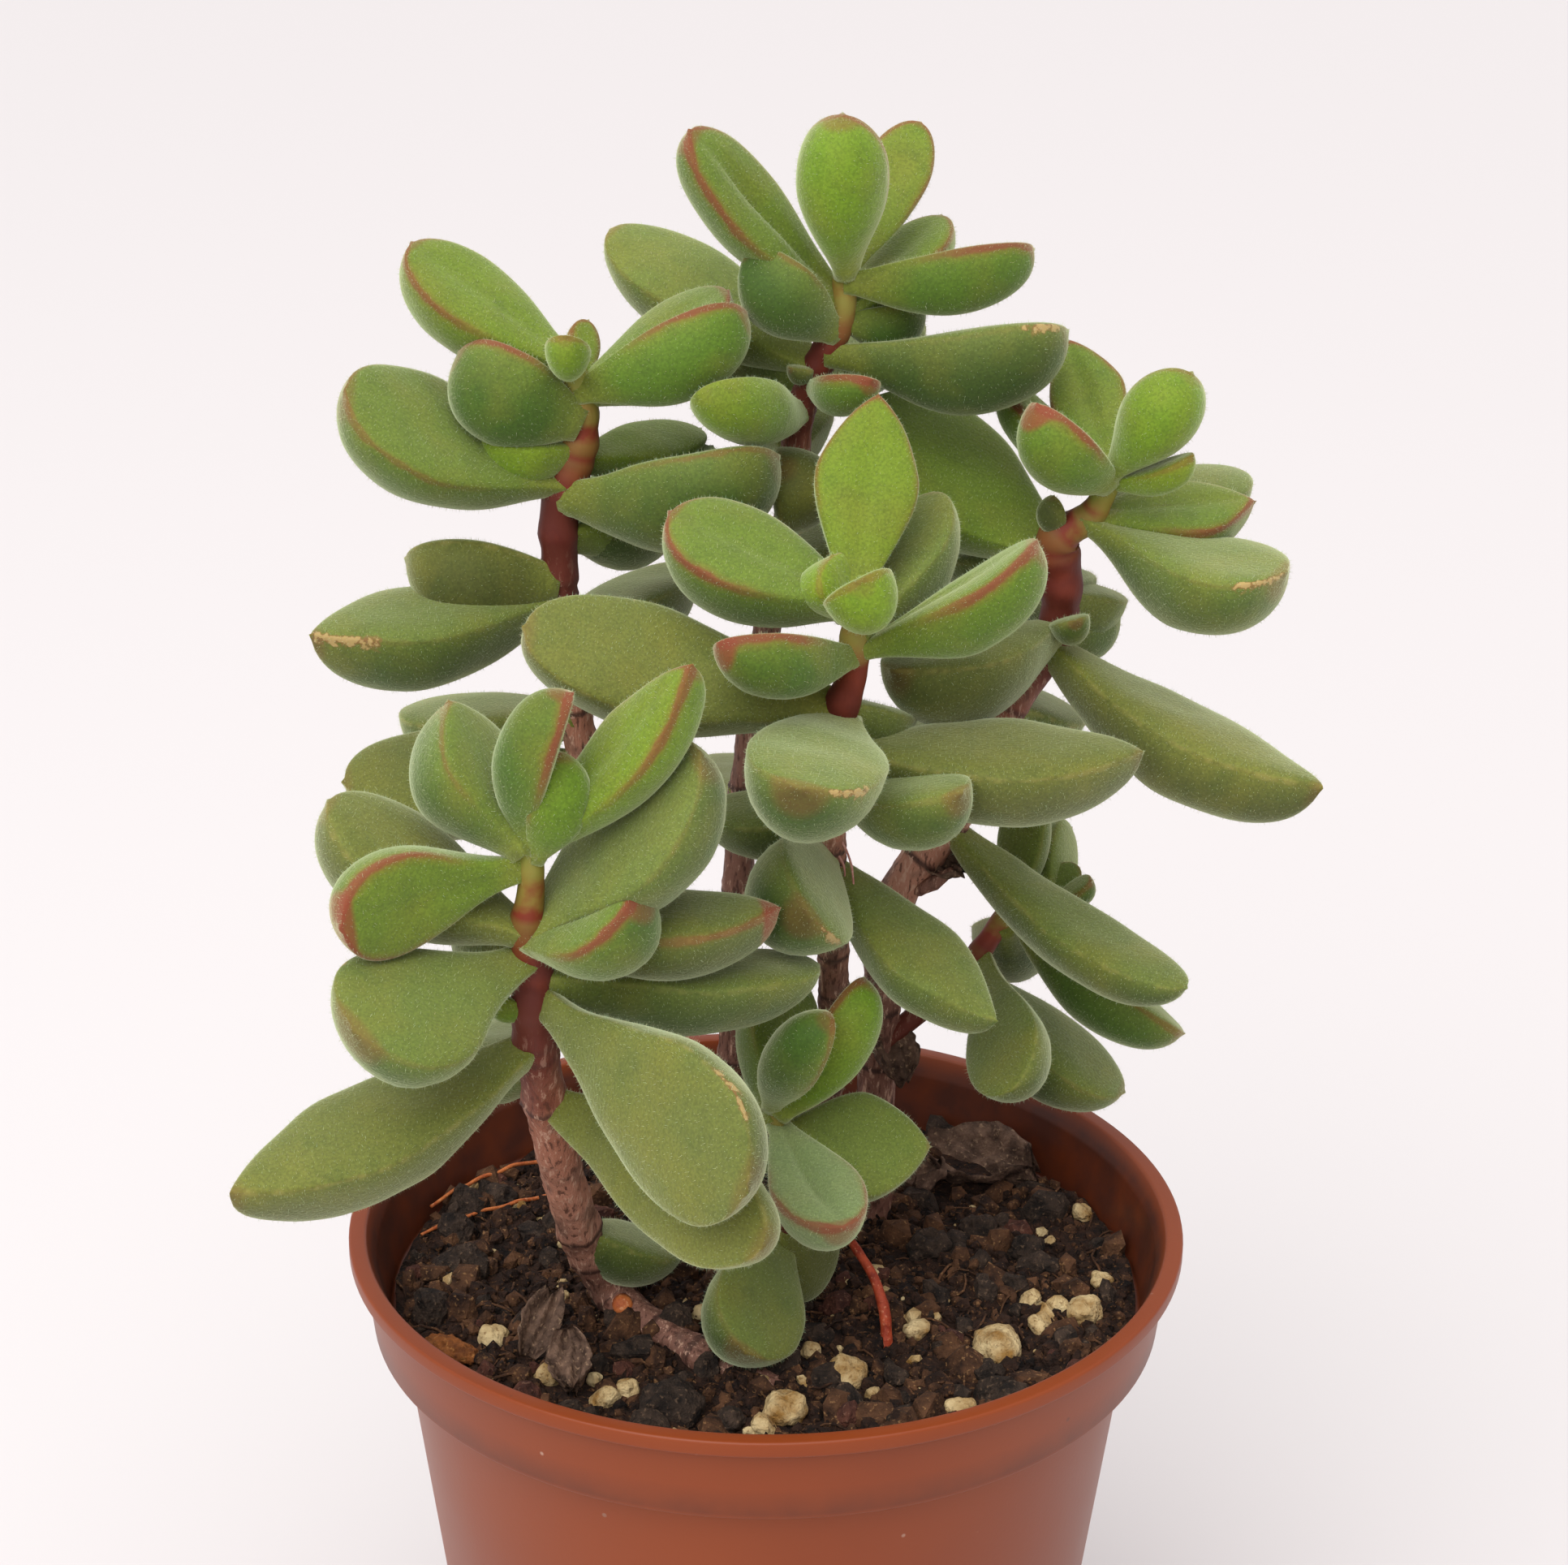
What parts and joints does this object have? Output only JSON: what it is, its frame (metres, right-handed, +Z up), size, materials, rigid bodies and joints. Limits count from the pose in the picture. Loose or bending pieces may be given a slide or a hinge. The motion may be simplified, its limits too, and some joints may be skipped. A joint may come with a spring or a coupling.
{
  "type": "potted succulent",
  "caption": "Fuzzy bush succulent: upright shoots with plump velvety leaves in pairs, standing in peat and pumice in a round nursery pot",
  "frame": {"origin": "centre of the flat pad under the pot, on the surface that the pot stands on", "axes": "+Z up, along the pot's axis; -Y is the front that the picture shows, and +X is the picture's right"},
  "size_m": [0.0982, 0.0897, 0.1855],
  "materials": {
    "pot": "satin",
    "soil": "matte",
    "leaf": "velvety",
    "pumice": "matte",
    "lava": "matte",
    "dry_leaf": "matte",
    "bark": "matte",
    "root": "matte"
  },
  "bodies": {
    "root": {"pot": "pot", "soil": "soil", "crown_shoot": "leaf", "left_shoot": "leaf", "centre_shoot": "leaf", "right_shoot": "leaf", "front_shoot": "leaf", "sprout": "leaf", "pumice_1": "pumice", "pumice_2": "pumice", "pumice_3": "pumice", "pumice_4": "pumice", "pumice_5": "pumice", "pumice_6": "pumice", "pumice_7": "pumice", "pumice_8": "pumice", "pumice_9": "pumice", "pumice_10": "pumice", "pumice_11": "pumice", "pumice_12": "pumice", "pumice_13": "pumice", "pumice_14": "pumice", "lava_1": "lava", "lava_2": "lava", "lava_3": "lava", "lava_4": "lava", "lava_5": "lava", "lava_6": "lava", "lava_7": "lava", "lava_8": "lava", "dry_leaf_1": "dry_leaf", "dry_leaf_2": "dry_leaf", "dry_leaf_3": "dry_leaf", "dry_leaf_4": "dry_leaf", "bark_chip": "bark", "red_stalk": "root", "root_1": "root", "root_2": "root"}
  },
  "joints": []
}
